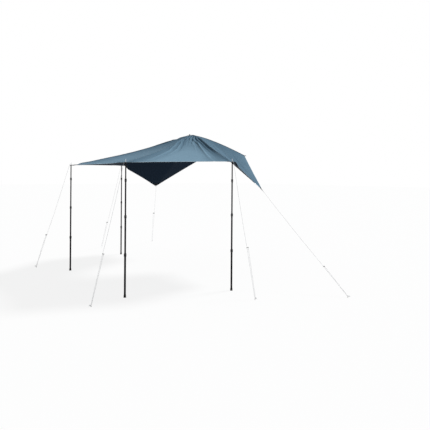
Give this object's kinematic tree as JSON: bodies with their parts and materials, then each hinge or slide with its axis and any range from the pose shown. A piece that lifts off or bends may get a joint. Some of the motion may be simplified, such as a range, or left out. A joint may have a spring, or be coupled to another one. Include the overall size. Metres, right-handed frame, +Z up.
{
  "type": "rooftop tent awning",
  "caption": "Cloth awning for a rooftop tent: a folded canopy with two low wings on telescoping poles with twist locks, held out by guy lines, sliders and pegs, with hooks for the tent.",
  "frame": {"origin": "on the ground, midway between the two front poles", "axes": "+X to the right-hand side, +Y from the front edge towards the tent, +Z up"},
  "size_m": [6.3964, 3.6456, 2.8527],
  "materials": {
    "cloth": "woven polyester, matte, coated inside",
    "pole_tube": "black anodised, satin",
    "pole_tip": "black anodised tube with a bright steel pin",
    "lock_plastic": "moulded black nylon, fluted grip",
    "foot_rubber": "black moulded rubber, matte",
    "eyelet_metal": "nickel-plated, pressed",
    "peg_steel": "galvanised round rod",
    "line_cord": "braided pale grey cord",
    "slider_plastic": "black moulded bar",
    "hook_plastic": "black moulded hook with its rivet"
  },
  "bodies": {
    "awning": {"canopy": "cloth", "front_left_eyelet": "eyelet_metal", "front_left_guy_line": "line_cord", "front_left_peg": "peg_steel", "front_right_eyelet": "eyelet_metal", "front_right_guy_line": "line_cord", "front_right_peg": "peg_steel", "left_hook": "hook_plastic", "peak_hook": "hook_plastic", "rear_left_eyelet": "eyelet_metal", "rear_left_guy_line": "line_cord", "rear_left_peg": "peg_steel", "rear_right_eyelet": "eyelet_metal", "rear_right_guy_line": "line_cord", "rear_right_peg": "peg_steel", "right_hook": "hook_plastic", "wing_left_eyelet": "eyelet_metal", "wing_left_guy_line": "line_cord", "wing_left_peg": "peg_steel", "wing_right_eyelet": "eyelet_metal", "wing_right_guy_line": "line_cord", "wing_right_peg": "peg_steel"},
    "front_left_top_section": {"front_left_top_tube": "pole_tip"},
    "front_left_upper_section": {"front_left_upper_tube": "pole_tube"},
    "front_left_upper_twist_ring": {"front_left_upper_lock": "lock_plastic"},
    "front_left_middle_section": {"front_left_middle_tube": "pole_tube"},
    "front_left_middle_twist_ring": {"front_left_middle_lock": "lock_plastic"},
    "front_left_lower_section": {"front_left_lower_tube": "pole_tube", "front_left_foot": "foot_rubber"},
    "front_left_lower_twist_ring": {"front_left_lower_lock": "lock_plastic"},
    "front_right_top_section": {"front_right_top_tube": "pole_tip"},
    "front_right_upper_section": {"front_right_upper_tube": "pole_tube"},
    "front_right_upper_twist_ring": {"front_right_upper_lock": "lock_plastic"},
    "front_right_middle_section": {"front_right_middle_tube": "pole_tube"},
    "front_right_middle_twist_ring": {"front_right_middle_lock": "lock_plastic"},
    "front_right_lower_section": {"front_right_lower_tube": "pole_tube", "front_right_foot": "foot_rubber"},
    "front_right_lower_twist_ring": {"front_right_lower_lock": "lock_plastic"},
    "rear_left_top_section": {"rear_left_top_tube": "pole_tip"},
    "rear_left_upper_section": {"rear_left_upper_tube": "pole_tube"},
    "rear_left_upper_twist_ring": {"rear_left_upper_lock": "lock_plastic"},
    "rear_left_middle_section": {"rear_left_middle_tube": "pole_tube"},
    "rear_left_middle_twist_ring": {"rear_left_middle_lock": "lock_plastic"},
    "rear_left_lower_section": {"rear_left_lower_tube": "pole_tube", "rear_left_foot": "foot_rubber"},
    "rear_left_lower_twist_ring": {"rear_left_lower_lock": "lock_plastic"},
    "rear_right_top_section": {"rear_right_top_tube": "pole_tip"},
    "rear_right_upper_section": {"rear_right_upper_tube": "pole_tube"},
    "rear_right_upper_twist_ring": {"rear_right_upper_lock": "lock_plastic"},
    "rear_right_middle_section": {"rear_right_middle_tube": "pole_tube"},
    "rear_right_middle_twist_ring": {"rear_right_middle_lock": "lock_plastic"},
    "rear_right_lower_section": {"rear_right_lower_tube": "pole_tube", "rear_right_foot": "foot_rubber"},
    "rear_right_lower_twist_ring": {"rear_right_lower_lock": "lock_plastic"},
    "front_left_slider": {"front_left_line_slider": "slider_plastic"},
    "front_right_slider": {"front_right_line_slider": "slider_plastic"},
    "rear_left_slider": {"rear_left_line_slider": "slider_plastic"},
    "rear_right_slider": {"rear_right_line_slider": "slider_plastic"},
    "wing_left_slider": {"wing_left_line_slider": "slider_plastic"},
    "wing_right_slider": {"wing_right_line_slider": "slider_plastic"}
  },
  "joints": [
    {"name": "front_left_lean", "type": "hinge", "parent": "awning", "child": "front_left_top_section", "pos_m": [-1.094, 0, 2.04074], "axis": [-0.5365, 0.8439, 0], "range_deg": [-10, 10], "deforming": ["front_left_guy_line"]},
    {"name": "front_left_upper_telescope", "type": "slide", "parent": "front_left_top_section", "child": "front_left_upper_section", "axis": [0, 0, 1], "range_m": [-0.235, 0.23]},
    {"name": "front_left_upper_twist", "type": "hinge", "parent": "front_left_upper_section", "child": "front_left_upper_twist_ring", "pos_m": [-1.094, 0, 1.7803], "axis": [0, 0, 1], "range_deg": [0, 90]},
    {"name": "front_left_middle_telescope", "type": "slide", "parent": "front_left_upper_section", "child": "front_left_middle_section", "axis": [0, 0, 1], "range_m": [0, 0.505]},
    {"name": "front_left_middle_twist", "type": "hinge", "parent": "front_left_middle_section", "child": "front_left_middle_twist_ring", "pos_m": [-1.094, 0, 1.2253], "axis": [0, 0, 1], "range_deg": [0, 90]},
    {"name": "front_left_lower_telescope", "type": "slide", "parent": "front_left_middle_section", "child": "front_left_lower_section", "axis": [0, 0, 1], "range_m": [0, 0.53]},
    {"name": "front_left_lower_twist", "type": "hinge", "parent": "front_left_lower_section", "child": "front_left_lower_twist_ring", "pos_m": [-1.094, 0, 0.6453], "axis": [0, 0, 1], "range_deg": [0, 90]},
    {"name": "front_right_lean", "type": "hinge", "parent": "awning", "child": "front_right_top_section", "pos_m": [1.094, 0, 2.04074], "axis": [-0.9907, -0.1362, 0], "range_deg": [-10, 10], "deforming": ["front_right_guy_line"]},
    {"name": "front_right_upper_telescope", "type": "slide", "parent": "front_right_top_section", "child": "front_right_upper_section", "axis": [0, 0, 1], "range_m": [-0.235, 0.23]},
    {"name": "front_right_upper_twist", "type": "hinge", "parent": "front_right_upper_section", "child": "front_right_upper_twist_ring", "pos_m": [1.094, 0, 1.7803], "axis": [0, 0, 1], "range_deg": [0, 90]},
    {"name": "front_right_middle_telescope", "type": "slide", "parent": "front_right_upper_section", "child": "front_right_middle_section", "axis": [0, 0, 1], "range_m": [0, 0.505]},
    {"name": "front_right_middle_twist", "type": "hinge", "parent": "front_right_middle_section", "child": "front_right_middle_twist_ring", "pos_m": [1.094, 0, 1.2253], "axis": [0, 0, 1], "range_deg": [0, 90]},
    {"name": "front_right_lower_telescope", "type": "slide", "parent": "front_right_middle_section", "child": "front_right_lower_section", "axis": [0, 0, 1], "range_m": [0, 0.53]},
    {"name": "front_right_lower_twist", "type": "hinge", "parent": "front_right_lower_section", "child": "front_right_lower_twist_ring", "pos_m": [1.094, 0, 0.6453], "axis": [0, 0, 1], "range_deg": [0, 90]},
    {"name": "rear_left_lean", "type": "hinge", "parent": "awning", "child": "rear_left_top_section", "pos_m": [-1.874, 1.489, 2.07573], "axis": [0.0527, 0.9986, 0], "range_deg": [-10, 10], "deforming": ["rear_left_guy_line"]},
    {"name": "rear_left_upper_telescope", "type": "slide", "parent": "rear_left_top_section", "child": "rear_left_upper_section", "axis": [0, 0, 1], "range_m": [-0.2, 0.26]},
    {"name": "rear_left_upper_twist", "type": "hinge", "parent": "rear_left_upper_section", "child": "rear_left_upper_twist_ring", "pos_m": [-1.874, 1.489, 1.7803], "axis": [0, 0, 1], "range_deg": [0, 90]},
    {"name": "rear_left_middle_telescope", "type": "slide", "parent": "rear_left_upper_section", "child": "rear_left_middle_section", "axis": [0, 0, 1], "range_m": [0, 0.505]},
    {"name": "rear_left_middle_twist", "type": "hinge", "parent": "rear_left_middle_section", "child": "rear_left_middle_twist_ring", "pos_m": [-1.874, 1.489, 1.2253], "axis": [0, 0, 1], "range_deg": [0, 90]},
    {"name": "rear_left_lower_telescope", "type": "slide", "parent": "rear_left_middle_section", "child": "rear_left_lower_section", "axis": [0, 0, 1], "range_m": [0, 0.53]},
    {"name": "rear_left_lower_twist", "type": "hinge", "parent": "rear_left_lower_section", "child": "rear_left_lower_twist_ring", "pos_m": [-1.874, 1.489, 0.6453], "axis": [0, 0, 1], "range_deg": [0, 90]},
    {"name": "rear_right_lean", "type": "hinge", "parent": "awning", "child": "rear_right_top_section", "pos_m": [1.874, 1.489, 2.07573], "axis": [-0.0856, -0.9963, 0], "range_deg": [-10, 10], "deforming": ["rear_right_guy_line"]},
    {"name": "rear_right_upper_telescope", "type": "slide", "parent": "rear_right_top_section", "child": "rear_right_upper_section", "axis": [0, 0, 1], "range_m": [-0.2, 0.26]},
    {"name": "rear_right_upper_twist", "type": "hinge", "parent": "rear_right_upper_section", "child": "rear_right_upper_twist_ring", "pos_m": [1.874, 1.489, 1.7803], "axis": [0, 0, 1], "range_deg": [0, 90]},
    {"name": "rear_right_middle_telescope", "type": "slide", "parent": "rear_right_upper_section", "child": "rear_right_middle_section", "axis": [0, 0, 1], "range_m": [0, 0.505]},
    {"name": "rear_right_middle_twist", "type": "hinge", "parent": "rear_right_middle_section", "child": "rear_right_middle_twist_ring", "pos_m": [1.874, 1.489, 1.2253], "axis": [0, 0, 1], "range_deg": [0, 90]},
    {"name": "rear_right_lower_telescope", "type": "slide", "parent": "rear_right_middle_section", "child": "rear_right_lower_section", "axis": [0, 0, 1], "range_m": [0, 0.53]},
    {"name": "rear_right_lower_twist", "type": "hinge", "parent": "rear_right_lower_section", "child": "rear_right_lower_twist_ring", "pos_m": [1.874, 1.489, 0.6453], "axis": [0, 0, 1], "range_deg": [0, 90]},
    {"name": "front_left_slider_slide", "type": "slide", "parent": "awning", "child": "front_left_slider", "axis": [-0.2979, -0.1861, -0.9363], "range_m": [-0.3, 0.3], "deforming": ["front_left_guy_line"]},
    {"name": "front_right_slider_slide", "type": "slide", "parent": "awning", "child": "front_right_slider", "axis": [0.0319, -0.254, -0.9667], "range_m": [-0.3, 0.3], "deforming": ["front_right_guy_line"]},
    {"name": "rear_left_slider_slide", "type": "slide", "parent": "awning", "child": "rear_left_slider", "axis": [-0.4782, 0.0278, -0.8778], "range_m": [-0.3, 0.3], "deforming": ["rear_left_guy_line"]},
    {"name": "rear_right_slider_slide", "type": "slide", "parent": "awning", "child": "rear_right_slider", "axis": [0.249, -0.0244, -0.9682], "range_m": [-0.3, 0.3], "deforming": ["rear_right_guy_line"]},
    {"name": "wing_left_slider_slide", "type": "slide", "parent": "awning", "child": "wing_left_slider", "axis": [-0.5778, 0.3161, -0.7525], "range_m": [-0.3, 0.3], "deforming": ["wing_left_guy_line"]},
    {"name": "wing_right_slider_slide", "type": "slide", "parent": "awning", "child": "wing_right_slider", "axis": [0.6933, 0.1049, -0.713], "range_m": [-0.3, 0.3], "deforming": ["wing_right_guy_line"]}
  ]
}
